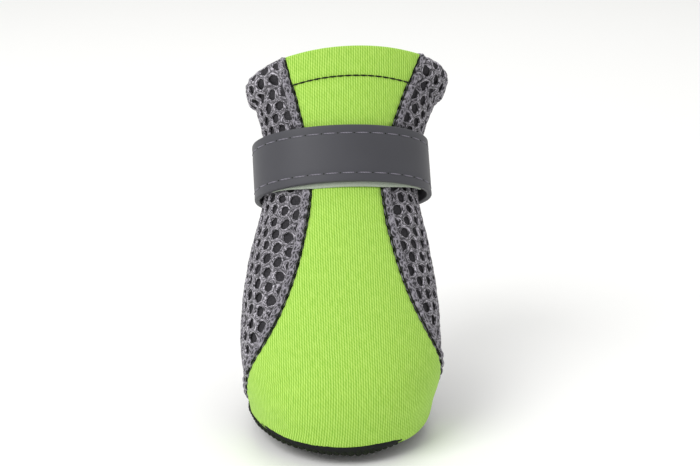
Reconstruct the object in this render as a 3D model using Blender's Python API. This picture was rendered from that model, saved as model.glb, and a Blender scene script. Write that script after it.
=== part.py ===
"""Dog boot: a mesh sock with a neoprene front panel, a wrap strap round the leg and a flat rubber sole.

Units are metres. The toe points to -Y, the heel to +Y, X runs across and the sole rests on Z = 0.
"""

import math
from collections import namedtuple

import bmesh
import bpy
from mathutils import Vector

for old in list(bpy.data.objects):
    bpy.data.objects.remove(old, do_unlink=True)
boot = bpy.data.collections.new("dog boot")
cutters = bpy.data.collections.new("cutters")
bpy.context.scene.collection.children.link(boot)
bpy.context.scene.collection.children.link(cutters)

MM = 0.001

# Sizes of the foot part
FOOT_LENGTH = 66.0 * MM
BALL_WIDTH = 55.0 * MM
INSTEP_HEIGHT = 65.5 * MM
HEEL_HEIGHT = 47.0 * MM

# Sizes of the leg part, which leans back over the heel
SHAFT_LENGTH = 38.2 * MM
SHAFT_WIDTH = 44.0 * MM
SHAFT_LEAN = math.radians(30.0)
SHAFT_SWAY = 7.0 * MM
COLLAR_DIP = 4.6 * MM
DIP_FULL_FROM = math.radians(100.0)

# Cloth thicknesses and steps
MESH_WALL = 1.8 * MM
PANEL_THICKNESS = 1.2 * MM
PANEL_RECESS = 0.9 * MM
SEAM_WIDTH = 3.0 * MM
SEAM_RISE = 0.8 * MM
SEAM_SLOPE = 0.35
MESH_HEM_DEPTH = 7.0 * MM
MESH_HEM_RISE = 0.7 * MM
FRONT_HEM_DEPTH = 8.0 * MM
FRONT_HEM_RISE = 0.6 * MM

# Strap, with its hook-and-loop end lapped over its start behind the leg
STRAP_WIDTH = 16.0 * MM
STRAP_THICKNESS = 1.5 * MM
STRAP_FROM_THROAT = 0.5 * MM
STRAP_SNUG = 0.7 * MM
STRAP_SLACK = 0.9 * MM
STRAP_START = math.radians(150.0)
STRAP_LAP = math.radians(62.0)
STRAP_RAMP = math.radians(26.0)

# Sole
SOLE_THICKNESS = 2.4 * MM
SOLE_RIM = 1.1 * MM
SOLE_ROUNDING = 0.9 * MM
SOLE_CHAMFER = 0.4 * MM
TOE_SPRING = 3.0 * MM
SIDE_CURL = 6.0 * MM
HEEL_SPRING = 2.0 * MM
GROOVE_WIDTH = 1.5 * MM
GROOVE_DEPTH = 0.9 * MM
GROOVE_PITCH = 9.5 * MM
GROOVE_MARGIN = 3.5 * MM
GROOVE_COUNT = 6
INSOLE_THICKNESS = 1.4 * MM
INSOLE_ROUNDING = 0.4 * MM

# Touching pieces keep this gap
CLEARANCE = 0.3 * MM

# Faces round and up the skins of the upper and its panel
TOE_ROWS = 8
VAMP_ROWS = 7
LEG_ROWS = 5
HEM_ROWS = 2
PANEL_COLUMNS = 16
MESH_COLUMNS = 15
STRAP_COLUMNS = 72
SOLE_COLUMNS = 56

# The surface's slope is measured over these small steps of level and angle
LEVEL_STEP = 0.002
ANGLE_STEP = math.radians(1.0)

# Sections of the foot part, from the sole line up to the throat, one row each. toe and heel are the
# places of the section's front and back ends behind the toe tip, as shares of FOOT_LENGTH. toe_up is a
# share of INSTEP_HEIGHT and heel_up of HEEL_HEIGHT, both above the sole. width is a share of BALL_WIDTH.
# square is the power of the rounded outline, widest is how far back the outline is broadest, and panel
# is the angle from the toe to the panel's edge.
FootSection = namedtuple("FootSection", "name level toe toe_up heel heel_up width square widest panel")
FOOT_SECTIONS = (
    FootSection("sole line", 0.00, 0.032, 0.000, 0.955, 0.000, 0.88, 2.10, 0.44, 88),
    FootSection("turned edge", 0.07, 0.012, 0.055, 0.977, 0.078, 0.93, 2.15, 0.44, 80),
    FootSection("bulge", 0.16, 0.000, 0.143, 0.993, 0.200, 0.97, 2.20, 0.43, 74),
    FootSection("ball", 0.26, 0.012, 0.246, 1.000, 0.333, 1.00, 2.20, 0.43, 66),
    FootSection("toe top", 0.37, 0.061, 0.357, 1.000, 0.467, 1.01, 2.15, 0.43, 55),
    FootSection("vamp", 0.54, 0.174, 0.524, 1.000, 0.622, 0.99, 2.10, 0.44, 40),
    FootSection("instep", 0.77, 0.348, 0.746, 1.006, 0.800, 0.92, 2.05, 0.46, 28),
    FootSection("throat", 1.00, 0.545, 1.000, 1.030, 0.991, 0.79, 2.05, 0.48, 23),
)

# Sections of the leg part, along its leaning axis from the throat. along is a share of SHAFT_LENGTH,
# depth of the throat's depth and width of SHAFT_WIDTH; the other columns are as above.
ShaftSection = namedtuple("ShaftSection", "name level along depth width square widest panel")
SHAFT_SECTIONS = (
    ShaftSection("under the strap", 1.18, 0.25, 0.98, 0.98, 2.05, 0.49, 27),
    ShaftSection("over the strap", 1.35, 0.50, 0.99, 1.03, 2.05, 0.50, 32),
    ShaftSection("below the hem", 1.54, 0.78, 1.04, 1.16, 2.05, 0.50, 36),
    ShaftSection("collar", 1.70, 1.00, 1.10, 1.32, 2.10, 0.50, 42),
)

# How the sole's edge lifts off the floor round the foot: share is that of the toe spring, side curl or
# heel spring that the row names, and flat is how much of the way out to the edge lies on the floor.
SoleEdge = namedtuple("SoleEdge", "name angle rise share flat")
SOLE_EDGES = (
    SoleEdge("toe", 0, TOE_SPRING, 1.00, 0.50),
    SoleEdge("toe corner", 40, SIDE_CURL, 0.70, 0.46),
    SoleEdge("ball", 80, SIDE_CURL, 1.00, 0.44),
    SoleEdge("waist", 120, SIDE_CURL, 0.85, 0.48),
    SoleEdge("heel", 180, HEEL_SPRING, 1.00, 0.72),
)

Ring = namedtuple("Ring", "front back half_width square widest panel")


def smooth(knots, values, at):
    """A cubic through the values at the knots; past the last knots it runs on straight."""
    count = len(knots)
    slopes = []
    for k in range(count):
        before = max(k - 1, 0)
        after = min(k + 1, count - 1)
        slopes.append((values[after] - values[before]) / (knots[after] - knots[before]))
    if at <= knots[0]:
        return values[0] + slopes[0] * (at - knots[0])
    if at >= knots[-1]:
        return values[-1] + slopes[-1] * (at - knots[-1])
    k = max(i for i in range(count - 1) if knots[i] <= at)
    span = knots[k + 1] - knots[k]
    t = (at - knots[k]) / span
    return (
        values[k] * (2 * t**3 - 3 * t**2 + 1)
        + slopes[k] * span * (t**3 - 2 * t**2 + t)
        + values[k + 1] * (3 * t**2 - 2 * t**3)
        + slopes[k + 1] * span * (t**3 - t**2)
    )


def ease(share):
    """A soft step from 0 to 1."""
    share = min(max(share, 0.0), 1.0)
    return share * share * (3 - 2 * share)


TOE_Y = -FOOT_LENGTH / 2
UPPER_BASE = SOLE_THICKNESS + CLEARANCE
SHAFT_AXIS = Vector((0, math.sin(SHAFT_LEAN), math.cos(SHAFT_LEAN)))


def foot_ring(section):
    front = Vector((0, TOE_Y + section.toe * FOOT_LENGTH, UPPER_BASE + section.toe_up * INSTEP_HEIGHT))
    back = Vector((0, TOE_Y + section.heel * FOOT_LENGTH, UPPER_BASE + section.heel_up * HEEL_HEIGHT))
    half_width = section.width * BALL_WIDTH / 2
    return Ring(front, back, half_width, section.square, section.widest, math.radians(section.panel))


FOOT_RINGS = [foot_ring(section) for section in FOOT_SECTIONS]
THROAT = FOOT_RINGS[-1]
THROAT_MIDDLE = (THROAT.front + THROAT.back) / 2
THROAT_DEPTH = (THROAT.back - THROAT.front).length
SHAFT_BACKWARD = Vector((0, math.cos(SHAFT_LEAN), -math.sin(SHAFT_LEAN)))


def shaft_ring(section):
    middle = THROAT_MIDDLE + SHAFT_AXIS * section.along * SHAFT_LENGTH
    half_depth = SHAFT_BACKWARD * section.depth * THROAT_DEPTH / 2
    half_width = section.width * SHAFT_WIDTH / 2
    panel = math.radians(section.panel)
    return Ring(middle - half_depth, middle + half_depth, half_width, section.square, section.widest, panel)


RINGS = FOOT_RINGS + [shaft_ring(section) for section in SHAFT_SECTIONS]
LEVELS = [section.level for section in FOOT_SECTIONS + SHAFT_SECTIONS]
BULGE_LEVEL = LEVELS[2]
TOE_TOP_LEVEL = LEVELS[4]
VAMP_LEVEL = LEVELS[5]
THROAT_INDEX = len(FOOT_SECTIONS) - 1
THROAT_LEVEL = LEVELS[THROAT_INDEX]
COLLAR_LEVEL = LEVELS[-1]
COLUMNS = {
    "front_y": [ring.front.y for ring in RINGS],
    "front_z": [ring.front.z for ring in RINGS],
    "back_y": [ring.back.y for ring in RINGS],
    "back_z": [ring.back.z for ring in RINGS],
    "half_width": [ring.half_width for ring in RINGS],
    "square": [ring.square for ring in RINGS],
    "widest": [ring.widest for ring in RINGS],
    "panel": [ring.panel for ring in RINGS],
}


def ring_at(level):
    """The section of the upper at a level between the rows of the tables."""
    value = {name: smooth(LEVELS, column, level) for name, column in COLUMNS.items()}
    front = Vector((0, value["front_y"], value["front_z"]))
    back = Vector((0, value["back_y"], value["back_z"]))
    return Ring(front, back, value["half_width"], value["square"], value["widest"], value["panel"])


def rounded(value, power):
    return math.copysign(abs(value) ** (2 / power), value)


def ring_point(ring, angle):
    """A point of a section's outline, by its angle from the toe towards +X."""
    across = ring.half_width * rounded(math.sin(angle), ring.square)
    forward = rounded(math.cos(angle), ring.square)
    along = ring.widest * (1 - forward) if forward > 0 else ring.widest - (1 - ring.widest) * forward
    return ring.front + (ring.back - ring.front) * along + Vector((across, 0, 0))


SOLE_MIDDLE = Vector((0, (FOOT_RINGS[0].front.y + FOOT_RINGS[0].back.y) / 2, 0))


def sole_lift(angle, out):
    """How far the sole lifts off the floor at a distance out from the sole line: flat in the middle, and
    curling up to its edge."""
    degrees = abs(math.degrees(math.remainder(angle, 2 * math.pi)))
    corners = [edge.angle for edge in SOLE_EDGES]
    rise = smooth(corners, [edge.rise * edge.share for edge in SOLE_EDGES], degrees)
    flat = smooth(corners, [edge.flat for edge in SOLE_EDGES], degrees)
    edge = ring_point(FOOT_RINGS[0], angle) - SOLE_MIDDLE
    share = 1 + out / math.hypot(edge.x, edge.y)
    return rise * (max(share - flat, 0) / (1 - flat)) ** 2


def last_point(level, angle):
    """A point of the plain form of the upper over a flat sole: the ring's outline, dipped at the collar's
    sides and back. The leg sways to +X, more and more as it goes up."""
    ring = ring_at(level)
    up_the_leg = ease((level - THROAT_LEVEL) / (COLLAR_LEVEL - THROAT_LEVEL))
    dip = COLLAR_DIP * ease(abs(angle) / DIP_FULL_FROM) * up_the_leg
    sway = SHAFT_SWAY * 2 * ease(level / COLLAR_LEVEL / 2)
    return ring_point(ring, angle) - SHAFT_AXIS * dip + Vector((sway, 0, 0))


def upper_point(level, angle, out):
    """A point of the upper's form, moved out along its normal, which lies level at the sole line."""
    up = last_point(level + LEVEL_STEP, angle) - last_point(level - LEVEL_STEP, angle)
    round_the_leg = last_point(level, angle + ANGLE_STEP) - last_point(level, angle - ANGLE_STEP)
    normal = round_the_leg.cross(up).normalized()
    normal.z *= ease(level / BULGE_LEVEL)
    point = last_point(level, angle) + normal.normalized() * out
    point.z += sole_lift(angle, out) * (1 - ease(level / VAMP_LEVEL))
    return point


def level_below_collar(depth):
    """The level that lies this far below the collar, measured down the upper's side."""
    below = LEVELS[-2]
    side = last_point(COLLAR_LEVEL, math.pi / 2) - last_point(below, math.pi / 2)
    return COLLAR_LEVEL - (COLLAR_LEVEL - below) * depth / side.length


MESH_HEM_LEVEL = level_below_collar(MESH_HEM_DEPTH)
FRONT_HEM_LEVEL = level_below_collar(FRONT_HEM_DEPTH)

# The fold's step is this much of a level high
HEM_STEP = 0.03


def seam_angle(level):
    """The angle that the raised seam takes up beside the panel at a level."""
    ring = ring_at(level)
    beside = last_point(level, ring.panel + ANGLE_STEP) - last_point(level, ring.panel)
    return SEAM_WIDTH * ANGLE_STEP / beside.length


def add_part(name, mesh, colour, roughness, metallic=0.0):
    material = bpy.data.materials.new(name)
    material.use_nodes = True
    shader = material.node_tree.nodes["Principled BSDF"]
    shader.inputs["Base Color"].default_value = (*colour, 1)
    shader.inputs["Roughness"].default_value = roughness
    shader.inputs["Metallic"].default_value = metallic
    mesh.materials.append(material)
    mesh.shade_smooth()
    mesh.set_sharp_from_angle(angle=math.radians(40))
    part = bpy.data.objects.new(name, mesh)
    boot.objects.link(part)
    return part


def shell(name, inner, outer, closed):
    """A walled skin between two like grids of points. Rows run upward, and each goes round from the toe
    towards +X, back to its start where closed."""
    skin = bmesh.new()
    faces_in = [[skin.verts.new(point) for point in row] for row in inner]
    faces_out = [[skin.verts.new(point) for point in row] for row in outer]
    count = len(inner[0])
    steps = [(k, (k + 1) % count) for k in range(count if closed else count - 1)]
    for grid in (faces_in, faces_out):
        for low, high in zip(grid, grid[1:]):
            for k, following in steps:
                skin.faces.new((low[k], low[following], high[following], high[k]))
    for inside, outside in ((faces_in[0], faces_out[0]), (faces_in[-1], faces_out[-1])):
        for k, following in steps:
            skin.faces.new((inside[k], inside[following], outside[following], outside[k]))
    if not closed:
        for k in (0, -1):
            inside = [row[k] for row in faces_in]
            outside = [row[k] for row in faces_out]
            for low in range(len(inner) - 1):
                skin.faces.new((inside[low], inside[low + 1], outside[low + 1], outside[low]))
    bmesh.ops.recalc_face_normals(skin, faces=skin.faces)
    mesh = bpy.data.meshes.new(name)
    skin.to_mesh(mesh)
    skin.free()
    return mesh


def spread(start, end, count):
    """Evenly spaced values from start to end, both included, in this many steps."""
    return [start + (end - start) * k / count for k in range(count + 1)]


def upper_outer(level, angle):
    """The sock's outer face: set in under the panel, raised at the seam and the collar's folded hem."""
    ring = ring_at(level)
    beside = (abs(angle) - ring.panel) / seam_angle(level)
    recess = -PANEL_RECESS * (1 - ease(beside + SEAM_SLOPE))
    seam = SEAM_RISE * ease(beside / SEAM_SLOPE) * (1 - ease((beside - 1 + SEAM_SLOPE) / SEAM_SLOPE))
    hem = MESH_HEM_RISE * ease(beside / SEAM_SLOPE) * ease((level - MESH_HEM_LEVEL) / HEM_STEP)
    return upper_point(level, angle, recess + max(seam, hem))


def skin_levels(hem_level):
    """The rows of a skin, closer over the toe, with the fold of its hem between two of them."""
    levels = spread(0.0, TOE_TOP_LEVEL, TOE_ROWS) + spread(TOE_TOP_LEVEL, THROAT_LEVEL, VAMP_ROWS)[1:]
    levels += spread(THROAT_LEVEL, hem_level - HEM_STEP, LEG_ROWS)[1:]
    return levels + [hem_level] + spread(hem_level + HEM_STEP, COLLAR_LEVEL, HEM_ROWS)


def make_upper():
    # Columns across the seam, as shares of its width, from under the panel's edge to the plain mesh
    seam_shares = (-0.2, 0.18, 0.5, 0.82, 1.25)
    levels = skin_levels(MESH_HEM_LEVEL)
    inner = []
    outer = []
    for level in levels:
        panel = ring_at(level).panel
        seam = seam_angle(level)
        half = spread(0, panel + seam_shares[0] * seam, PANEL_COLUMNS // 4)
        half += [panel + share * seam for share in seam_shares[1:]]
        half += spread(half[-1], math.pi, MESH_COLUMNS)[1:]
        angles = half + [-angle for angle in reversed(half[1:-1])]
        outer.append([upper_outer(level, angle) for angle in angles])
        inner.append([upper_point(level, angle, -MESH_WALL) for angle in angles])
    mesh = shell("upper", inner, outer, closed=True)
    add_part("upper", mesh, colour=(0.085, 0.085, 0.092), roughness=0.85)


def make_front_panel():
    levels = skin_levels(FRONT_HEM_LEVEL)
    base = CLEARANCE - PANEL_RECESS
    inner = []
    outer = []
    for level in levels:
        edge = ring_at(level).panel - SEAM_SLOPE * seam_angle(level)
        hem = FRONT_HEM_RISE * ease((level - FRONT_HEM_LEVEL) / HEM_STEP)
        angles = spread(-edge, edge, PANEL_COLUMNS)
        inner.append([upper_point(level, angle, base) for angle in angles])
        outer.append([upper_point(level, angle, base + PANEL_THICKNESS + hem) for angle in angles])
    mesh = shell("front_panel", inner, outer, closed=False)
    add_part("front_panel", mesh, colour=(0.43, 0.72, 0.11), roughness=0.75)


SHAFT_HEIGHTS = [0] + [section.along * SHAFT_LENGTH for section in SHAFT_SECTIONS]
STRAP_LEVEL = smooth(SHAFT_HEIGHTS, LEVELS[THROAT_INDEX:], STRAP_FROM_THROAT + STRAP_WIDTH / 2)


def strap_point(angle, across, lap, out):
    """A point of the strap, out from its inner face. It is a straight band round the leg, slack at the
    sides, and the lap of its end lies outside its start."""
    snug = CLEARANCE + PANEL_THICKNESS - PANEL_RECESS + STRAP_SNUG
    reach = snug + STRAP_SLACK * math.sin(angle) ** 2 + lap * (STRAP_THICKNESS + CLEARANCE) + out
    return upper_point(STRAP_LEVEL, angle, reach) + SHAFT_AXIS * (across - 0.5) * STRAP_WIDTH


def make_strap():
    turn = 2 * math.pi + STRAP_LAP
    faces = []
    for out in (0, STRAP_THICKNESS):
        rows = []
        for across in spread(0, 1, 2):
            row = []
            for travelled in spread(0, turn, STRAP_COLUMNS):
                lap = ease((travelled - (turn - STRAP_LAP - STRAP_RAMP)) / STRAP_RAMP)
                row.append(strap_point(STRAP_START + travelled, across, lap, out))
            rows.append(row)
        faces.append(rows)
    mesh = shell("strap", faces[0], faces[1], closed=False)
    add_part("strap", mesh, colour=(0.10, 0.10, 0.105), roughness=0.45, metallic=0.3)


def outline_point(angle, out):
    """A point of the sole line in plan, moved out."""
    ring = FOOT_RINGS[0]
    before = ring_point(ring, angle - ANGLE_STEP)
    after = ring_point(ring, angle + ANGLE_STEP)
    normal = (after - before).cross(Vector((0, 0, 1))).normalized()
    point = ring_point(ring, angle) + normal * out
    return Vector((point.x, point.y, 0))


def slab(name, profile, rings_in, colour, roughness):
    """A closed pad. profile lists its edge from underside to top as reach out from the sole line and
    height. The faces close over to the middle by shrinking rings, and all of it follows the sole's lift."""
    angles = spread(0, 2 * math.pi, SOLE_COLUMNS)[:-1]

    def row(reach, height, share):
        points = []
        for angle in angles:
            point = SOLE_MIDDLE.lerp(outline_point(angle, reach), share)
            edge = outline_point(angle, 0) - SOLE_MIDDLE
            out = (point - SOLE_MIDDLE).length - edge.length
            point.z = height + sole_lift(angle, out)
            points.append(point)
        return points

    low, high = profile[0], profile[-1]
    rows = [row(*low, share) for share in reversed(rings_in)]
    rows += [row(*step, 1) for step in profile]
    rows += [row(*high, share) for share in rings_in]
    pad = bmesh.new()
    grid = [[pad.verts.new(point) for point in points] for points in rows]
    for lower, upper in zip(grid, grid[1:]):
        for k in range(SOLE_COLUMNS):
            following = (k + 1) % SOLE_COLUMNS
            pad.faces.new((lower[k], lower[following], upper[following], upper[k]))
    for ends, height in ((grid[0], low[1]), (grid[-1], high[1])):
        centre = pad.verts.new(SOLE_MIDDLE + Vector((0, 0, height)))
        for k in range(SOLE_COLUMNS):
            pad.faces.new((ends[k], ends[(k + 1) % SOLE_COLUMNS], centre))
    bmesh.ops.recalc_face_normals(pad, faces=pad.faces)
    mesh = bpy.data.meshes.new(name)
    pad.to_mesh(mesh)
    pad.free()
    return add_part(name, mesh, colour, roughness)


def half_chord(y):
    """Half the sole line's breadth at a place along the foot."""
    angles = spread(0, math.pi, 180)
    return min((outline_point(angle, 0) for angle in angles), key=lambda point: abs(point.y - y)).x


def make_outsole():
    profile = []
    for turn in spread(0, math.pi / 2, 2):
        inward = SOLE_ROUNDING * (1 - math.sin(turn))
        profile.append((SOLE_RIM - inward, SOLE_ROUNDING * (1 - math.cos(turn))))
    profile += [(SOLE_RIM, SOLE_THICKNESS - SOLE_CHAMFER), (SOLE_RIM - SOLE_CHAMFER, SOLE_THICKNESS)]
    rings_in = (0.9, 0.8, 0.7, 0.6, 0.45, 0.25)
    sole = slab("outsole", profile, rings_in, colour=(0.012, 0.012, 0.012), roughness=0.7)
    bars = bmesh.new()
    for k in range(GROOVE_COUNT):
        y = SOLE_MIDDLE.y + (k - (GROOVE_COUNT - 1) / 2) * GROOVE_PITCH
        bar = bmesh.ops.create_cube(bars, size=1.0)["verts"]
        length = 2 * (half_chord(y) - GROOVE_MARGIN)
        bmesh.ops.scale(bars, vec=(length, GROOVE_WIDTH, 2 * GROOVE_DEPTH), verts=bar)
        bmesh.ops.translate(bars, vec=Vector((0, y, 0)), verts=bar)
    mesh = bpy.data.meshes.new("groove cutter")
    bars.to_mesh(mesh)
    bars.free()
    cutter = bpy.data.objects.new("groove cutter", mesh)
    cutter.hide_render = True
    cutter.display_type = "WIRE"
    cutters.objects.link(cutter)
    cut = sole.modifiers.new("grooves", "BOOLEAN")
    cut.object = cutter
    cut.solver = "EXACT"


def make_insole():
    inside = -(MESH_WALL + 2 * CLEARANCE)
    profile = (
        (inside - INSOLE_ROUNDING, UPPER_BASE),
        (inside, UPPER_BASE + INSOLE_ROUNDING),
        (inside - INSOLE_ROUNDING, UPPER_BASE + INSOLE_THICKNESS),
    )
    rings_in = (0.88, 0.76, 0.64, 0.5, 0.25)
    slab("insole", profile, rings_in, colour=(0.03, 0.03, 0.03), roughness=0.9)


make_upper()
make_front_panel()
make_strap()
make_outsole()
make_insole()
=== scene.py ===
import math
from collections import namedtuple

import bpy
import numpy as np
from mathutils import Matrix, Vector
from mathutils.bvhtree import BVHTree


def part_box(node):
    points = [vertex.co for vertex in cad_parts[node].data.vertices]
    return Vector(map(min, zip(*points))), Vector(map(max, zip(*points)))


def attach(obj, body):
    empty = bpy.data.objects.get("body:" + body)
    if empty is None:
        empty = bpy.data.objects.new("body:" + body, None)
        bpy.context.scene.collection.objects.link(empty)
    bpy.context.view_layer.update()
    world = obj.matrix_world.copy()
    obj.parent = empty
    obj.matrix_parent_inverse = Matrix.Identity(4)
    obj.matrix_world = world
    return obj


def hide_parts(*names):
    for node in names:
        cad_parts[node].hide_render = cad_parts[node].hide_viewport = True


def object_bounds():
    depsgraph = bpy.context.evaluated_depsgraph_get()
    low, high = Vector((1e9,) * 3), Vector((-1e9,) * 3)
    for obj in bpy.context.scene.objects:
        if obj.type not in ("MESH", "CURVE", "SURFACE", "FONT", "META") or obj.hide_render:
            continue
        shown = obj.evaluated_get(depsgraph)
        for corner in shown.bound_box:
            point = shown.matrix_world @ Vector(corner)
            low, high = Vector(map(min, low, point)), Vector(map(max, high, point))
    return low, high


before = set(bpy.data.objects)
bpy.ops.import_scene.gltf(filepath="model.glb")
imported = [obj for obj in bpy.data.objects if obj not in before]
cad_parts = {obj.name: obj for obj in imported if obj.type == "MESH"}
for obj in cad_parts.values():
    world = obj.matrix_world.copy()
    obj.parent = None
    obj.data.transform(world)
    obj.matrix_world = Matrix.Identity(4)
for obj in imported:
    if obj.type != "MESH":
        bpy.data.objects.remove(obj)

# Camera
# It looks down on the toe from 18 degrees, and from a little to the boot's own right, as in the photograph.
# Its lens is set so that the picture is 196 mm wide at the boot.
MM = 0.001
LOOK_DOWN = math.radians(18)
LOOK_ASIDE = math.radians(7)
CAMERA_DISTANCE = 450 * MM
PICTURE_WIDTH = 196 * MM

cad_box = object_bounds()
middle = (cad_box[0] + cad_box[1]) / 2
to_camera = Vector((
    -math.sin(LOOK_ASIDE) * math.cos(LOOK_DOWN),
    -math.cos(LOOK_ASIDE) * math.cos(LOOK_DOWN),
    math.sin(LOOK_DOWN),
))
bpy.ops.object.camera_add(location=middle + to_camera * CAMERA_DISTANCE)
camera = bpy.context.object
camera.rotation_euler = (-to_camera).to_track_quat("-Z", "Y").to_euler()
camera.data.lens = camera.data.sensor_width * CAMERA_DISTANCE / PICTURE_WIDTH
camera.data.clip_start = 10 * MM
bpy.context.scene.camera = camera

# Floor and light
# A plain floor painted matt white, under soft light: a bright surround and two large square lamps, one high
# behind the boot and a stronger one in front, at the picture's left.
FLOOR_WIDTH = 4.0
FLOOR_WHITE = "#FAFAF8"
SURROUND_STRENGTH = 0.6
LAMP_DISTANCE = 1.0

# A lamp's turn from the toe towards +X and its height, in degrees, its width in metres and its watts
Lamp = namedtuple("Lamp", "turn height width watts")
LAMPS = (
    Lamp(-55, 45, 0.6, 5.6),
    Lamp(170, 65, 0.8, 3.5),
)


def linear(code):
    """An sRGB hex colour as a linear one."""
    shares = [int(code[k:k + 2], 16) / 255 for k in (1, 3, 5)]
    return [*(s / 12.92 if s <= 0.04045 else ((s + 0.055) / 1.055) ** 2.4 for s in shares), 1.0]


def add_node(material, kind, inputs, feeds=None, **settings):
    """Adds a shader node with its settings. inputs holds a value or another node's output for each of its
    sockets. feeds names the surface shader's socket that the node's own output is linked to."""
    tree = material.node_tree
    made = tree.nodes.new("ShaderNode" + kind)
    for name, value in settings.items():
        setattr(made, name, value)
    for name, value in inputs.items():
        if isinstance(value, bpy.types.NodeSocket):
            tree.links.new(value, made.inputs[name])
        else:
            made.inputs[name].default_value = value
    if feeds:
        tree.links.new(made.outputs[0], tree.nodes["Principled BSDF"].inputs[feeds])
    return made


def new_material(name, **values):
    """A material with the constants of its surface shader. A word's underscores stand for spaces."""
    material = bpy.data.materials.new(name)
    material.use_nodes = True
    shader = material.node_tree.nodes["Principled BSDF"]
    for socket, value in values.items():
        shader.inputs[socket.replace("_", " ")].default_value = value
    return material


bpy.ops.mesh.primitive_plane_add(size=FLOOR_WIDTH, location=(0, 0, cad_box[0].z))
floor = bpy.context.object
floor.name = "floor"

# Matt paint scatters the light evenly, so the floor has no gloss and shows only the boot's soft shadow
floor_paint = new_material("matt floor paint", Base_Color=linear(FLOOR_WHITE), Roughness=0.9)
floor.data.materials.append(floor_paint)

for lamp in LAMPS:
    turn = math.radians(lamp.turn)
    height = math.radians(lamp.height)
    towards = Vector((
        math.sin(turn) * math.cos(height),
        -math.cos(turn) * math.cos(height),
        math.sin(height),
    ))
    bpy.ops.object.light_add(type="AREA", location=middle + towards * LAMP_DISTANCE)
    light = bpy.context.object
    light.rotation_euler = (-towards).to_track_quat("-Z", "Y").to_euler()
    light.data.size = lamp.width
    light.data.energy = lamp.watts
world = bpy.data.worlds.new("studio surround")
world.use_nodes = True
surround = world.node_tree.nodes["Background"]
surround.inputs["Color"].default_value = (1, 1, 1, 1)
surround.inputs["Strength"].default_value = SURROUND_STRENGTH
bpy.context.scene.world = world
bpy.context.scene.view_settings.view_transform = "Standard"

# The last
# Not a piece, but the form that all the cloth is laid over: the smooth inner wall of the upper. It is
# measured with rays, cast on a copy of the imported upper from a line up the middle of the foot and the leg.
MERGE = 0.001 * MM
FLAT_FACES = math.radians(60)
SQUARE_FACES = math.radians(80)
WALL_CORNER = math.radians(50)
LEG_LEAN = math.radians(30)
LEG_ABOVE_STRAP = 22 * MM
FOOT_RAY_HEIGHT = 10 * MM
LINE_POINTS = 50
ROWS = 64
COLUMNS = 96
HALVINGS = 16
RAY_ASIDE = 0.002
STEEPEST_RAY = 1.2
RAY_SHARE = 0.99


def merged_copy(node, name):
    """A CAD node's mesh as an object of its own, with its corners merged and its faces made four-sided."""
    bpy.ops.object.select_all(action="DESELECT")
    copy = bpy.data.objects.new(name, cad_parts[node].data.copy())
    bpy.context.scene.collection.objects.link(copy)
    copy.select_set(True)
    bpy.context.view_layer.objects.active = copy
    copy.data.materials.clear()
    bpy.ops.object.mode_set(mode="EDIT")
    bpy.ops.mesh.select_all(action="SELECT")
    bpy.ops.mesh.remove_doubles(threshold=MERGE)
    bpy.ops.mesh.tris_convert_to_quads(face_threshold=FLAT_FACES, shape_threshold=SQUARE_FACES)
    bpy.ops.object.mode_set(mode="OBJECT")
    return copy


def apply_modifier(piece, kind, **settings):
    """Adds a modifier to a piece and applies it."""
    bpy.ops.object.select_all(action="DESELECT")
    piece.select_set(True)
    bpy.context.view_layer.objects.active = piece
    modifier = piece.modifiers.new(kind.lower(), kind)
    for name, value in settings.items():
        setattr(modifier, name, value)
    bpy.ops.object.modifier_apply(modifier=modifier.name)


def ray_tree(piece):
    """A piece's faces, ready for rays."""
    return BVHTree.FromObject(piece, bpy.context.evaluated_depsgraph_get())


wall = merged_copy("upper", "last")
bpy.ops.object.mode_set(mode="EDIT")
bpy.ops.mesh.select_mode(type="EDGE")
bpy.ops.mesh.select_all(action="DESELECT")
bpy.ops.mesh.edges_select_sharp(sharpness=WALL_CORNER)
bpy.ops.transform.edge_crease(value=1)
bpy.ops.object.mode_set(mode="OBJECT")
apply_modifier(wall, "SUBSURF", levels=2, render_levels=2)
wall_tree = ray_tree(wall)
bpy.data.objects.remove(wall)
panel_tree = ray_tree(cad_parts["front_panel"])

leg_axis = Vector((0, math.sin(LEG_LEAN), math.cos(LEG_LEAN)))
sole_low, sole_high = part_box("outsole")
strap_low, strap_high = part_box("strap")
leg_middle = (strap_low + strap_high) / 2
foot_middle = (sole_low + sole_high) / 2
line_start = Vector((foot_middle.x, foot_middle.y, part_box("upper")[0].z + FOOT_RAY_HEIGHT))
line_end = leg_middle + leg_axis * LEG_ABOVE_STRAP
line_bend = leg_middle - leg_axis * (leg_middle.y - foot_middle.y) / math.sin(LEG_LEAN)
line_bend.x = foot_middle.x
line_shares = np.linspace(0, 1, LINE_POINTS)
line = [line_start.lerp(line_bend, s).lerp(line_bend.lerp(line_end, s), s) for s in line_shares]
line_lengths = np.cumsum([0, *((after - before).length for before, after in zip(line, line[1:]))])


def ease(share):
    """A soft step from 0 to 1."""
    share = np.clip(share, 0, 1)
    return share * share * (3 - 2 * share)


def ray_to(level, angle, pitch):
    """The start and direction of a ray from the middle line, at an angle from the toe towards +X."""
    start = Vector([np.interp(level * line_lengths[-1], line_lengths, places) for places in zip(*line)])
    up = Vector((0, 0, 1)).lerp((line_end - line_bend).normalized(), ease(level)).normalized()
    forward = Vector((1, 0, 0)).cross(up)
    outward = Vector((math.sin(angle), 0, 0)) + forward * math.cos(angle)
    return start, outward * math.cos(pitch) + up * math.sin(pitch)


def meets(tree, level, angle, pitch):
    """Where such a ray first meets a surface. One that slips between two faces is cast again beside them."""
    for aside in (0, RAY_ASIDE, -RAY_ASIDE):
        place = tree.ray_cast(*ray_to(level, angle + aside, pitch))[0]
        if place is not None:
            return place
    return None


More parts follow.
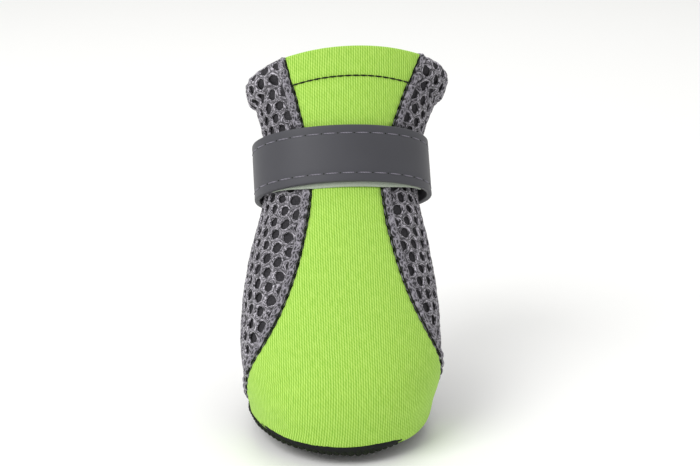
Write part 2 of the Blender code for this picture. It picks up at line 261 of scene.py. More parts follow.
def furthest(test, limit):
    """The value furthest from nought, on the way to a limit, for which the test holds."""
    good, bad = 0.0, limit
    for _ in range(HALVINGS):
        half = (good + bad) / 2
        good, bad = (half, bad) if test(half) else (good, half)
    return good


turns = np.arange(COLUMNS) * 2 * math.pi / COLUMNS
all_turns = np.append(turns, 2 * math.pi)
levels = np.linspace(0, 1, ROWS)
lowest = [furthest(lambda pitch: meets(wall_tree, 0, turn, pitch), -STEEPEST_RAY) for turn in turns]
highest = [furthest(lambda pitch: meets(wall_tree, 1, turn, pitch), STEEPEST_RAY) for turn in turns]


def pitch_at(level, angle):
    """The pitch of a ray, which turns from just over the sole line to just under the collar."""
    ends = [RAY_SHARE * np.interp(angle, turns, edge, period=2 * math.pi) for edge in (lowest, highest)]
    return ends[0] * (1 - level) + ends[1] * level


last = np.array([
    [meets(wall_tree, level, turn, pitch_at(level, turn)) for turn in turns]
    for level in levels
])
across = np.roll(last, -1, axis=1) - np.roll(last, 1, axis=1)
normals = np.cross(across, np.gradient(last, axis=0))
normals /= np.linalg.norm(normals, axis=2, keepdims=True)
steps_round = np.linalg.norm(np.roll(last, -1, axis=1) - last, axis=2)
lengths_round = np.concatenate([np.zeros((ROWS, 1)), np.cumsum(steps_round, axis=1)], axis=1)
steps_up = np.linalg.norm(np.diff(last, axis=0), axis=2)
lengths_up = np.concatenate([np.zeros((1, COLUMNS)), np.cumsum(steps_up, axis=0)], axis=0)


def smooth_weights(share):
    """Weights of four points in a row for a place between the middle two, which lies on a smooth curve."""
    return 0.5 * np.stack([
        -share + 2 * share**2 - share**3,
        2 - 5 * share**2 + 3 * share**3,
        share + 4 * share**2 - 3 * share**3,
        share**3 - share**2,
    ])


def on_last(level, angle):
    """Points of the last and its normals there, by share of the way up and angle from the toe to +X."""
    level, angle = np.broadcast_arrays(level, angle)
    row = np.clip(level, 0, 1) * (ROWS - 1)
    column = np.mod(angle, 2 * math.pi) / (2 * math.pi) * COLUMNS
    first_row = np.minimum(row.astype(int), ROWS - 2)
    first_column = column.astype(int)
    row_weights = smooth_weights(row - first_row)
    column_weights = smooth_weights(column - first_column)
    points = np.zeros((*level.shape, 3))
    outward = np.zeros((*level.shape, 3))
    for i in range(4):
        for j in range(4):
            weight = (row_weights[i] * column_weights[j])[..., None]
            place = np.clip(first_row + i - 1, 0, ROWS - 1), np.mod(first_column + j - 1, COLUMNS)
            points += weight * last[place]
            outward += weight * normals[place]
    return points, outward / np.linalg.norm(outward, axis=-1, keepdims=True)


def off_last(level, angle, out):
    """Points this far outside the last."""
    points, outward = on_last(level, angle)
    return points + outward * np.broadcast_to(out, points.shape[:-1])[..., None]


def table_round(level):
    """The lengths round the last from the toe to each of its columns, at some levels."""
    row = np.clip(level, 0, 1) * (ROWS - 1)
    low = np.minimum(row.astype(int), ROWS - 2)
    share = (row - low)[:, None]
    return lengths_round[low] * (1 - share) + lengths_round[low + 1] * share


def round_at(level, angle):
    """The length round the last from the toe to an angle, negative towards -X."""
    level, angle = (np.atleast_1d(values).astype(float) for values in np.broadcast_arrays(level, angle))
    tables = table_round(level)
    found = [np.interp(abs(a) if a >= 0 else 2 * math.pi + a, all_turns, t) for a, t in zip(angle, tables)]
    return np.where(angle < 0, np.array(found) - tables[:, -1], found)


def angle_at(level, length):
    """The angle at a length round the last from the toe, negative towards -X."""
    level, length = (np.atleast_1d(values).astype(float) for values in np.broadcast_arrays(level, length))
    tables = table_round(level)
    wrapped = np.where(length < 0, length + tables[:, -1], length)
    found = np.array([np.interp(s, t, all_turns) for s, t in zip(wrapped, tables)])
    return np.where(length < 0, found - 2 * math.pi, found)


def up_at(level, angle=0.0):
    """The length up the last to a level, along one angle."""
    return np.interp(level, levels, lengths_up[:, round(angle / (2 * math.pi) * COLUMNS)])


def level_up(length, angle=0.0):
    """The level at a length up the last, along one angle."""
    return np.interp(length, lengths_up[:, round(angle / (2 * math.pi) * COLUMNS)], levels)


EDGE_FROM = 0.06
EDGE_FURTHEST = 2.4
EDGE_SLOPE_OVER = 4
EDGE_SMOOTHING = 5


def panel_edge(side):
    """The angle of the front panel's edge at each level, on the +X or the -X side."""
    seen = [
        level for level in levels
        if level > EDGE_FROM and meets(panel_tree, level, 0, pitch_at(level, 0))
    ]
    edge = [
        furthest(
            lambda turn: meets(panel_tree, level, side * turn, pitch_at(level, side * turn)), EDGE_FURTHEST,
        )
        for level in seen
    ]
    low_slope = np.polyfit(seen[:EDGE_SLOPE_OVER], edge[:EDGE_SLOPE_OVER], 1)
    high_slope = np.polyfit(seen[-EDGE_SLOPE_OVER:], edge[-EDGE_SLOPE_OVER:], 1)
    whole = np.interp(levels, seen, edge)
    whole = np.where(levels < seen[0], np.polyval(low_slope, levels), whole)
    whole = np.where(levels > seen[-1], np.polyval(high_slope, levels), whole)
    padded = np.pad(whole, EDGE_SMOOTHING // 2, mode="reflect", reflect_type="odd")
    return np.convolve(padded, np.ones(EDGE_SMOOTHING) / EDGE_SMOOTHING, mode="valid")


edges = {side: panel_edge(side) for side in (1, -1)}

# The panel's cloth laps this far over its solid's edge, as the photo shows, at heights from mid strap
LAP_HEIGHTS = (-70 * MM, -12 * MM, 8 * MM, 15 * MM, 23 * MM, 31 * MM)
LAPS = (1.3 * MM, 1.7 * MM, 1.6 * MM, 1.9 * MM, 1.8 * MM, -0.2 * MM)
level_heights = (last[:, 0] - np.array(leg_middle)) @ np.array(leg_axis)
laps = np.interp(level_heights, LAP_HEIGHTS, LAPS)


def edge_at(side, level, beside=0.0):
    """The signed angle of the panel's edge, or of a line this far beyond it, at some levels."""
    edge = side * np.interp(level, levels, edges[side])
    return angle_at(level, round_at(level, edge) + side * (np.interp(level, levels, laps) + beside))


# Inner mesh
# The closed inner face and the spacer threads of the grey air mesh, knitted of polyester: the sock's hollow
# wall. It shows dark through the outer face's holes and inside the collar, and fills the collar's fold.
INNER_WALL = 0.9 * MM
HEM_FILL = 0.9 * MM
HEM_FILL_DEPTH = 6 * MM
HEM_FILL_FADES = 2 * MM
HEM_FILL_TURN = 0.15
FLANK_TURN = math.pi / 2
INNER_MESH_DARK = "#1E1D20"
INNER_MESH_LIGHT = "#3C3A3F"
KNIT_PITCH = 0.625
KNIT_RELIEF = 0.15 * MM


def corners(piece):
    """A mesh's corner places, one row each."""
    places = np.empty(len(piece.data.vertices) * 3)
    piece.data.vertices.foreach_get("co", places)
    return places.reshape(-1, 3)


def new_grid(name, across, up):
    """A flat grid to be laid over the boot, and its corners' shares of the way across and up."""
    bpy.ops.object.select_all(action="DESELECT")
    bpy.ops.mesh.primitive_grid_add(x_subdivisions=across, y_subdivisions=up, size=1)
    piece = bpy.context.object
    piece.name = name
    piece.data.name = name
    piece.data.uv_layers[0].name = "lengths"
    shares = np.clip(corners(piece) + 0.5, 0, 1)
    return piece, shares[:, 0], shares[:, 1]


def lay(piece, places, across, up):
    """Puts a piece's corners at their places. Its UV map holds their lengths across and up in millimetres."""
    piece.data.vertices.foreach_set("co", places.ravel())
    loops = np.empty(len(piece.data.loops), int)
    piece.data.loops.foreach_get("vertex_index", loops)
    layer = piece.data.uv_layers.get("lengths") or piece.data.uv_layers.new(name="lengths")
    layer.uv.foreach_set("vector", (np.stack([across, up], axis=-1)[loops] / MM).ravel())
    piece.data.update()


def edit(piece, *steps):
    """Runs edit-mode operators, each given as its name and its settings, on all of a piece."""
    bpy.ops.object.select_all(action="DESELECT")
    piece.select_set(True)
    bpy.context.view_layer.objects.active = piece
    bpy.ops.object.mode_set(mode="EDIT")
    bpy.ops.mesh.select_mode(type="VERT")
    bpy.ops.mesh.select_all(action="SELECT")
    for name, settings in steps:
        getattr(bpy.ops.mesh, name)(**settings)
    bpy.ops.object.mode_set(mode="OBJECT")


def finish_piece(piece, material, slot, *nodes):
    """Gives a piece its material and fixes it to the boot in place of any CAD nodes named. Its slot is not
    used.
    """
    piece.data.materials.clear()
    piece.data.materials.append(material)
    piece.data.shade_smooth()
    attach(piece, "root")
    if nodes:
        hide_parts(*nodes)


# Knitted polyester seen from its closed side is dull, and each of its stitches shows as a slightly paler dot
inner_mesh = new_material("knitted polyester, inner face", Roughness=0.95)
lengths = add_node(inner_mesh, "UVMap", {}, uv_map="lengths").outputs["UV"]
knit = add_node(
    inner_mesh, "TexVoronoi", {"Vector": lengths, "Scale": 1 / KNIT_PITCH, "Randomness": 0.5},
).outputs["Distance"]
add_node(
    inner_mesh, "MixRGB",
    {"Fac": knit, "Color1": linear(INNER_MESH_LIGHT), "Color2": linear(INNER_MESH_DARK)},
    feeds="Base Color",
)
add_node(inner_mesh, "Bump", {"Height": knit, "Distance": KNIT_RELIEF}, feeds="Normal", invert=True)

sock, around, up = new_grid("mesh_inner_layer", 96, 64)
angle = around * 2 * math.pi - math.pi
climbed = up_at(up, FLANK_TURN)
past_panel = np.where(angle > 0, angle - edge_at(1, up), edge_at(-1, up) - angle)
in_hem = ease((climbed - climbed.max() + HEM_FILL_DEPTH) / HEM_FILL_FADES) * ease(past_panel / HEM_FILL_TURN)
lay(sock, off_last(up, angle, INNER_WALL + HEM_FILL * in_hem), round_at(up, angle), climbed)
edit(sock, ("remove_doubles", {"threshold": MERGE}))
apply_modifier(sock, "SOLIDIFY", thickness=INNER_WALL, offset=-1)
finish_piece(sock, inner_mesh, "air_mesh", "upper")

# Outer mesh
# The holed outer face of the air mesh, knitted of grey polyester in rows of staggered holes. It is folded
# over at the collar in a soft hem that runs down inside, and cut off under the seams beside the front panel.
WALL = 1.8 * MM
HOLE_WIDTH = 2.75 * MM
HOLE_HEIGHT = 2.75 * MM
HOLE_PITCH = 4.3 * MM
ROW_PITCH = 3.3 * MM
HOLE_CORNERS = 12
NET_TURNED_IN = 6.5 * MM
NET_SELVEDGE = 0.8 * MM
NET_FROM_PANEL = 0.8 * MM
NET_SWAYS = 12
NET_SWAY = 0.045 * MM
NET_SWAY_RADIANS = 900
NEAR_TOP = 0.002
NEAR_PANEL = 0.003
SEAM_FOLD = 0.8 * MM
SEAM_FOLD_AT = 3.4 * MM
SEAM_FOLD_WIDTH = 0.8 * MM
MESH_HEM_DEPTH = 7 * MM
MESH_HEM_RISE = 1.1 * MM
MESH_HEM_STARTS = 1.2 * MM
MESH_HEM_DIP = 0.5 * MM
MESH_HEM_DIP_WIDTH = 0.8 * MM
HEM_ROLL = 1.5 * MM
ROLLS_BELOW_TOP = 1.0 * MM
A_LITTLE_LOWER = 0.01
YARN_LIGHT = "#C9C5CE"
YARN_MID = "#6E6A72"
YARN_DARK_AND_PAINTED_SHADE = "#28272B"
YARN_RELIEF = 0.15 * MM

# Each ring round a hole: its share of the way from the cell's border to the hole's rim, its height in
# millimetres, and the length across the yarn to it, in millimetres too
Ring = namedtuple("Ring", "share height across_yarn")
NET_RINGS = (
    Ring(0, 0, 0),
    Ring(0.5, 0.02, 0.5),
    Ring(0.85, -0.12, 0.85),
    Ring(1, -0.42, 1.05),
    Ring(0.92, -0.85, 1.5),
    Ring(0, -0.85, 2.4),
)
YARN_STEP = 0.65


def way_up(places, lower_places):
    """The directions up the wall to points of the last from those a little lower."""
    upward = places - lower_places
    return upward / np.maximum(np.linalg.norm(upward, axis=1, keepdims=True), MERGE)


bpy.ops.object.select_all(action="DESELECT")
bpy.ops.mesh.primitive_circle_add(vertices=HOLE_CORNERS, radius=1)
net = bpy.context.object
net.name = "mesh_outer_layer"
edit(net, *[("extrude_edges_move", {})] * (len(NET_RINGS) - 1))
rim = corners(net)
hole = rim[:, :2] * (HOLE_WIDTH / 2, HOLE_HEIGHT / 2)
corner_turns = np.degrees(np.arctan2(rim[:, 1], rim[:, 0])) * HOLE_CORNERS / 360
corner = np.round(corner_turns).astype(int) % HOLE_CORNERS
cell = np.array([
    (0.5, 0), (0.5, 1 / 3), (0.25, 0.5), (0, 2 / 3), (-0.25, 0.5), (-0.5, 1 / 3),
    (-0.5, 0), (-0.5, -1 / 3), (-0.25, -0.5), (0, -2 / 3), (0.25, -0.5), (0.5, -1 / 3),
]) * (HOLE_PITCH, ROW_PITCH)
ring_share, ring_height, across_yarn = (np.repeat(values, HOLE_CORNERS) for values in zip(*NET_RINGS))
flat = cell[corner] + (hole - cell[corner]) * ring_share[:, None]
net.data.vertices.foreach_set("co", np.column_stack([flat, ring_height * MM]).ravel())
net.data.uv_layers[0].name = "yarns"
for face in net.data.polygons:
    closes_ring = {0, HOLE_CORNERS - 1} <= {corner[k] for k in face.vertices}
    for loop, k in zip(face.loop_indices, face.vertices):
        steps = HOLE_CORNERS if closes_ring and corner[k] == 0 else corner[k]
        net.data.uv_layers["yarns"].uv[loop].vector = (steps * YARN_STEP, across_yarn[k])

# The flank is flattened like a cut pattern, so that the holes keep their form where the mesh bends
top_level = level_up(up_at(1.0, FLANK_TURN) - ROLLS_BELOW_TOP, FLANK_TURN)
pattern, across, up = new_grid("pattern", 120, 72)
pattern_level = up * top_level
ends = edge_at(1, pattern_level, NET_FROM_PANEL), edge_at(-1, pattern_level, NET_FROM_PANEL) + 2 * math.pi
pattern_angle = ends[0] + (ends[1] - ends[0]) * across
pattern_places = off_last(pattern_level, pattern_angle, WALL)
lay(pattern, pattern_places, across, up)
edit(pattern, ("quads_convert_to_tris", {}))
bpy.ops.object.mode_set(mode="EDIT")
bpy.ops.mesh.select_all(action="SELECT")
bpy.ops.uv.unwrap(method="ANGLE_BASED", margin=0)
bpy.ops.object.mode_set(mode="OBJECT")
cut_out = np.zeros((len(pattern.data.vertices), 2))
for loop, place in zip(pattern.data.loops, pattern.data.uv_layers["lengths"].uv):
    cut_out[loop.vertex_index] = place.vector
starts, finishes = np.array([edge.vertices for edge in pattern.data.edges]).T
real = np.linalg.norm(pattern_places[starts] - pattern_places[finishes], axis=1).sum()
cut_out *= real / np.linalg.norm(cut_out[starts] - cut_out[finishes], axis=1).sum()
heel_low, heel_high = (np.argsort(abs(across - 0.5) + abs(up - share))[0] for share in (0.25, 0.75))
upright = cut_out[heel_high] - cut_out[heel_low]
upright /= np.linalg.norm(upright)
cut_out = np.column_stack([cut_out @ (upright[1], -upright[0]), cut_out @ upright])
if cut_out[np.argmin(across + abs(up - 0.5)), 0] < cut_out[np.argmax(across - abs(up - 0.5)), 0]:
    cut_out[:, 0] *= -1
cut_out -= (cut_out[heel_low, 0], cut_out[:, 1].min())
triangles = np.array([face.vertices for face in pattern.data.polygons])
cut_out_tree = BVHTree.FromPolygons([(x, y, 0) for x, y in cut_out], triangles.tolist())
bpy.data.objects.remove(pattern)

# One hole is copied into a pair of staggered rows, then across and up
width, height = np.ptp(cut_out, axis=0)
holes_across = math.ceil(width / HOLE_PITCH) + 1
pairs_up = math.ceil((height + 5 * HEM_ROLL + NET_TURNED_IN) / (2 * ROW_PITCH)) + 1
for count, offset in (
    (2, (HOLE_PITCH / 2, ROW_PITCH, 0)),
    (holes_across, (HOLE_PITCH, 0, 0)),
    (pairs_up, (0, 2 * ROW_PITCH, 0)),
):
    apply_modifier(
        net, "ARRAY", count=count, use_relative_offset=False, use_constant_offset=True,
        constant_offset_displace=offset, use_merge_vertices=True, merge_threshold=MERGE,
    )
edit(net, ("remove_doubles", {"threshold": MERGE}), ("normals_make_consistent", {"inside": False}))

# The knit isn't quite even: slow waves sway its rows and yarns. They are drawn by their radians to the metre,
# and most are from 3 to 15 mm long
flat = corners(net)
flat[:, 0] += cut_out[:, 0].min() - flat[:, 0].min() - HOLE_PITCH / 2
flat[:, 1] -= ROW_PITCH
loose = np.random.default_rng(4)
flat += (1, 1, 0.8) * sum(
    np.sin(flat[:, :2] @ loose.normal(0, NET_SWAY_RADIANS, 2) + loose.uniform(0, 7))[:, None]
    * loose.normal(0, NET_SWAY, 3)
    for _ in range(NET_SWAYS)
)

# Each corner finds its place in the cut pattern, or how far it lies beyond it
level, angle, beyond = np.zeros((3, len(flat)))
for k, (x, y, _) in enumerate(flat):
    place, _, face, distance = cut_out_tree.find_nearest((x, y, 0))
    a, b, c = cut_out[triangles[face]]
    shares = np.linalg.solve(np.column_stack([b - a, c - a]), np.array(place[:2]) - a)
    shares = np.array([1 - shares.sum(), *shares])
    level[k] = shares @ pattern_level[triangles[face]]
    angle[k] = shares @ pattern_angle[triangles[face]]
    beyond[k] = distance
past_top = level > top_level - NEAR_TOP
cut = (beyond > NET_SELVEDGE) & ~past_top
beyond = np.where(past_top, beyond, 0)
angle = np.where(angle > math.pi, angle - 2 * math.pi, angle)

# The mesh lies on the wall, rises in the hem, dips beside the seams and rolls over the collar
climbed = up_at(level, FLANK_TURN)
from_hem = climbed - up_at(1.0, FLANK_TURN) + MESH_HEM_DEPTH
hem_puff = 0.6 + 0.4 * np.sin(math.pi * np.clip(from_hem / (MESH_HEM_DEPTH - HEM_ROLL), 0, 1))
lying = WALL + flat[:, 2] + MESH_HEM_RISE * hem_puff * ease(from_hem / MESH_HEM_STARTS)
lying -= MESH_HEM_DIP * np.exp(-(from_hem / MESH_HEM_DIP_WIDTH) ** 2)
seam_length = round_at(level, angle)
from_seam = np.minimum(
    abs(seam_length - round_at(level, edge_at(1, level))),
    abs(seam_length - round_at(level, edge_at(-1, level))),
)
lying -= SEAM_FOLD * np.exp(-((from_seam - SEAM_FOLD_AT) / SEAM_FOLD_WIDTH) ** 2)
roll = np.clip(beyond / HEM_ROLL, 0, math.pi)
roll_out = WALL + 0.6 * MESH_HEM_RISE - HEM_ROLL
lying = np.where(roll > 0, roll_out + (HEM_ROLL + flat[:, 2]) * np.cos(roll), lying)
inward = np.maximum(beyond - math.pi * HEM_ROLL, 0)
frayed = inward > NET_TURNED_IN + NET_SELVEDGE
level = level_up(climbed - np.minimum(inward, NET_TURNED_IN), FLANK_TURN)
places, outward = on_last(level, angle)
upward = way_up(places, on_last(level - A_LITTLE_LOWER, angle)[0])
places += outward * lying[:, None] + upward * ((HEM_ROLL + flat[:, 2]) * np.sin(roll))[:, None]
lay(net, places, flat[:, 0], flat[:, 1])
beside_panel = np.minimum(
    abs(angle - edge_at(1, level, NET_FROM_PANEL)),
    abs(angle - edge_at(-1, level, NET_FROM_PANEL)),
) < NEAR_PANEL
cut |= frayed | ((beyond > NET_SELVEDGE) & beside_panel)
edit(net, ("select_all", {"action": "DESELECT"}))
net.data.vertices.foreach_set("select", cut)
bpy.ops.object.mode_set(mode="EDIT")
bpy.ops.mesh.delete(type="VERT")
bpy.ops.object.mode_set(mode="OBJECT")

# Textured polyester yarn is soft and dull. Its filaments show as pale flecks on the crests, and the sides of
# each hole are painted dark with shade. The flecks are drawn about 0.3 mm wide, because real filaments
# are too fine to show, and they drift over the mesh, so that no two holes look alike. Both maps are in
# millimetres
FLECK_LENGTH = 0.667
FLECK_WIDTH = 0.263
FLECK_DRIFT = 3.33

# Painted shade on the yarn: how light it is at shares of the way across it, from between two holes to its
# back. It is lightest on the crest round each hole, and darkens with painted shade down into the hole
YARN_PAINTED_SHADE = ((0.0, 0.55), (0.18, 0.85), (0.36, 1.0), (0.45, 0.7), (0.62, 0.15))
HOLE_BACK_PAINTED_SHADE = 0.05
air_mesh = new_material("knitted polyester, outer face", Roughness=0.75, Sheen_Weight=0.2)
yarn_place = add_node(air_mesh, "UVMap", {}, uv_map="yarns").outputs["UV"]
lengths = add_node(air_mesh, "UVMap", {}, uv_map="lengths").outputs["UV"]
along_yarn = add_node(air_mesh, "Mapping", {
    "Vector": yarn_place, "Scale": (1 / FLECK_LENGTH, 1 / FLECK_WIDTH, 1.0),
}).outputs["Vector"]
over_mesh = add_node(air_mesh, "Mapping", {
    "Vector": lengths, "Scale": (1 / FLECK_DRIFT, 1 / FLECK_DRIFT, 1.0),
}).outputs["Vector"]
fleck_place = add_node(air_mesh, "VectorMath", {0: along_yarn, 1: over_mesh}, operation="ADD")
filaments = add_node(air_mesh, "TexNoise", {
    "Vector": fleck_place.outputs["Vector"], "Scale": 1.0, "Detail": 2.0, "Distortion": 0.5,
})
clear = add_node(air_mesh, "MapRange", {"Value": filaments.outputs["Fac"], "From Min": 0.42, "From Max": 0.6})
yarn_across = add_node(air_mesh, "SeparateXYZ", {"Vector": yarn_place}).outputs["Y"]
yarn_share = add_node(air_mesh, "MapRange", {"Value": yarn_across, "From Max": NET_RINGS[-1].across_yarn})
hole_painted_shade = add_node(air_mesh, "ValToRGB", {"Fac": yarn_share.outputs["Result"]})
for position, value in YARN_PAINTED_SHADE:
    stop = hole_painted_shade.color_ramp.elements.new(position)
    stop.color = (value, value, value, 1)
hole_painted_shade.color_ramp.elements.remove(hole_painted_shade.color_ramp.elements[0])
hole_painted_shade.color_ramp.elements[-1].color = (HOLE_BACK_PAINTED_SHADE, HOLE_BACK_PAINTED_SHADE, HOLE_BACK_PAINTED_SHADE, 1)
lit = add_node(
    air_mesh, "MixRGB",
    {"Fac": 1.0, "Color1": clear.outputs["Result"], "Color2": hole_painted_shade.outputs["Color"]},
    blend_type="MULTIPLY",
)
# The darkest colour is both the yarn's own dark between the flecks and the painted shade in the holes
shade = add_node(air_mesh, "ValToRGB", {"Fac": lit.outputs["Color"]}, feeds="Base Color")
shade.color_ramp.elements[0].color = linear(YARN_DARK_AND_PAINTED_SHADE)
shade.color_ramp.elements[1].color = linear(YARN_LIGHT)
shade.color_ramp.elements[1].position = 0.8
shade.color_ramp.elements.new(0.4).color = linear(YARN_MID)
add_node(
    air_mesh, "Bump", {"Height": clear.outputs["Result"], "Distance": YARN_RELIEF, "Strength": 0.8},
    feeds="Normal",
)
finish_piece(net, air_mesh, "air_mesh")

# Seams
# Beside the front panel the mesh is turned back and sewn down, which squeezes it into a puckered roll. Black
# overlocking thread of polyester lies in the groove against the panel.
SEAM_HALF_WIDTH = 1.3 * MM
SEAM_HALF_HEIGHT = 1.15 * MM
SEAM_OUT = 1.6 * MM
SEAM_BESIDE = 1.5 * MM
SEAM_FROM_LEVEL = 0.03
SEAM_FOLD_RADIUS = 0.9 * MM
SEAM_TURNED_IN = 8 * MM
SEAM_POINTS = 460
PUCKER_PITCH = 2.9 * MM
PUCKER_RISE = 0.15 * MM
SEAM_SWAY = 0.5 * MM
SEAM_FLATTENS = 4 * MM
STRAP_PRESSES = 10.5 * MM
STRAP_PRESS_FADES = 2 * MM
THREAD_OUT = 2.2 * MM
THREAD_BESIDE = 0.12 * MM
THREAD_RADIUS = 0.24 * MM
THREAD_PITCH = 1.5 * MM
THREAD_POINTS = 900
TWIST_PITCH = 0.403 * MM
TWIST_RELIEF = 0.05 * MM
# Each thread's colour in its grooves, darker with painted shade, and on its ridges, paler with painted light
THREAD_BLACK = "#0C1009"
THREAD_BLACK_LIT_RIDGE = "#1C2414"
THREAD_GREY = "#6F6C76"
THREAD_GREY_LIT_RIDGE = "#8B8893"
GATHERED_LIGHT = "#A5A1AB"
GATHERED_MID = "#605C66"
GATHERED_YARN_WIDTH = 0.769
GATHERED_YARN_LENGTH = 1.333
GATHERED_BLUR = 1.25
GATHERED_RELIEF = 0.3 * MM


def strand(name, path, outward, half_width, half_height, sides):
    """A closed strand of oval section along a path, as wide as half_width gives at each of its points."""
    count = len(path)
    piece, around, along = new_grid(name, sides, count - 1)
    index = np.round(along * (count - 1)).astype(int)
    forward = np.gradient(path, axis=0)
    sideways = np.cross(forward, outward)
    sideways /= np.linalg.norm(sideways, axis=1, keepdims=True)
    turn = around * 2 * math.pi
    half_width, half_height = (np.broadcast_to(values, count) for values in (half_width, half_height))
    places = path[index] + sideways[index] * (half_width[index] * np.cos(turn))[:, None]
    places += outward[index] * (half_height[index] * np.sin(turn))[:, None]
    lengths = np.cumsum(np.linalg.norm(forward, axis=1))
    lay(piece, places, turn * half_width.mean(), lengths[index])
    edit(
        piece, ("remove_doubles", {"threshold": 2 * MERGE}), ("fill_holes", {"sides": 0}),
        ("normals_make_consistent", {"inside": False}),
    )
    return piece


def matt_thread(name, dark, light):
    """Bonded polyester thread: dull, its twist showing as slanting ridges. The ridges are painted a little
    paler as lit, and the grooves between them darker with painted shade. A diagonal wave repeats at pi / 5
    over its scale along the three axes together."""
    material = new_material(name, Roughness=0.8, Specular_IOR_Level=0.25)
    place = add_node(material, "TexCoord", {}).outputs["Object"]
    twist = add_node(
        material, "TexWave",
        {"Vector": place, "Scale": math.pi / 5 / (math.sqrt(3) * TWIST_PITCH), "Distortion": 1.0},
        bands_direction="DIAGONAL",
    ).outputs["Fac"]
    add_node(
        material, "MixRGB", {"Fac": twist, "Color1": linear(dark), "Color2": linear(light)},
        feeds="Base Color",
    )
    add_node(material, "Bump", {"Height": twist, "Distance": TWIST_RELIEF, "Strength": 0.6}, feeds="Normal")
    return material


black_thread = matt_thread("black bonded thread", THREAD_BLACK, THREAD_BLACK_LIT_RIDGE)
grey_thread = matt_thread("grey bonded thread", THREAD_GREY, THREAD_GREY_LIT_RIDGE)

# Gathered in the roll, the same dull knit shows no holes, but a tangle of pale yarns round small gaps.
# The gaps are painted dark: painted shade between the yarns
gathered = new_material("knitted polyester, gathered", Roughness=0.8, Sheen_Weight=0.25)
lengths = add_node(gathered, "UVMap", {}, uv_map="lengths").outputs["UV"]
blur = add_node(gathered, "TexNoise", {"Vector": lengths, "Scale": 1 / GATHERED_BLUR, "Detail": 2.0})
bent = add_node(
    gathered, "MixRGB", {"Fac": 0.8, "Color1": lengths, "Color2": blur.outputs["Color"]}, blend_type="ADD",
)
slanted = add_node(gathered, "Mapping", {
    "Vector": bent.outputs["Color"],
    "Rotation": (0, 0, 0.6),
    "Scale": (1 / GATHERED_YARN_WIDTH, 1 / GATHERED_YARN_LENGTH, 1),
})
yarns = add_node(
    gathered, "TexVoronoi", {"Vector": slanted.outputs["Vector"], "Scale": 1.0, "Randomness": 0.9},
    feature="DISTANCE_TO_EDGE",
)
yarn_edge = add_node(gathered, "MapRange", {
    "Value": yarns.outputs["Distance"], "From Max": 0.3, "To Min": 1.0, "To Max": 0.0,
}).outputs["Result"]
shade = add_node(gathered, "ValToRGB", {"Fac": yarn_edge}, feeds="Base Color")
# The cells between the yarns take the darkest colour: painted shade in the gaps
shade.color_ramp.elements[0].color = linear(YARN_DARK_AND_PAINTED_SHADE)
shade.color_ramp.elements[1].color = linear(GATHERED_LIGHT)
shade.color_ramp.elements.new(0.45).color = linear(GATHERED_MID)
add_node(
    gathered, "Bump", {"Height": yarn_edge, "Distance": GATHERED_RELIEF, "Strength": 0.9}, feeds="Normal",
)

corner_turn = math.pi / 4
seam_start = up_at(SEAM_FROM_LEVEL, corner_turn)
outside = up_at(1.0, corner_turn) - seam_start
over_top = math.pi * SEAM_FOLD_RADIUS
for side, name in ((1, "left"), (-1, "right")):
    length = np.linspace(0, outside + over_top + SEAM_TURNED_IN, SEAM_POINTS)
    inside = np.maximum(length - outside - over_top, 0)
    roll = np.clip((length - outside) / SEAM_FOLD_RADIUS, 0, math.pi)
    level = level_up(seam_start + np.minimum(length, outside) - inside, corner_turn)
    ends = np.sqrt(np.clip(np.minimum(length, length[-1] - length) / SEAM_HALF_WIDTH, 0.0, 1)) + 0.001
    pucker = 0.5 + 0.5 * np.sin(2 * math.pi * length / PUCKER_PITCH + 0.8 * np.sin(length / (5 * MM)))
    places, outward = on_last(level, edge_at(side, level, SEAM_BESIDE - SEAM_SWAY * (pucker - 0.5)))
    lower = level - A_LITTLE_LOWER
    upward = way_up(places, on_last(lower, edge_at(side, lower, SEAM_BESIDE))[0])
    flat_share = 1 - 0.5 * ease((length - outside + SEAM_FLATTENS) / SEAM_FLATTENS)
    from_strap = abs((places - np.array(leg_middle)) @ np.array(leg_axis))
    flat_share *= 1 - 0.5 * ease((STRAP_PRESSES - from_strap) / STRAP_PRESS_FADES)
    out = SEAM_OUT + PUCKER_RISE * pucker - SEAM_FOLD_RADIUS * (1 - np.cos(roll))
    places = places + outward * out[:, None] + upward * (SEAM_FOLD_RADIUS * 0.4 * np.sin(roll))[:, None]
    outward = outward * np.cos(roll)[:, None] + upward * np.sin(roll)[:, None]
    wide = SEAM_HALF_WIDTH * ends * (0.86 + 0.22 * pucker)
    high = SEAM_HALF_HEIGHT * ends * (0.8 + 0.25 * pucker) * flat_share
    seam = strand(f"seam_roll_{name}", places, outward, wide, high, sides=16)
    finish_piece(seam, gathered, "air_mesh")

    level = np.linspace(0.004, 0.996, THREAD_POINTS)
    beads = abs(np.sin(math.pi * up_at(level, corner_turn) / THREAD_PITCH)) ** 0.5
    places, outward = on_last(level, edge_at(side, level, THREAD_BESIDE + THREAD_BESIDE * beads))
    radius = THREAD_RADIUS * (0.6 + 0.4 * beads)
    thread = strand(f"seam_thread_{name}", places + outward * THREAD_OUT, outward, radius, radius, sides=8)
    finish_piece(thread, black_thread, "air_mesh")

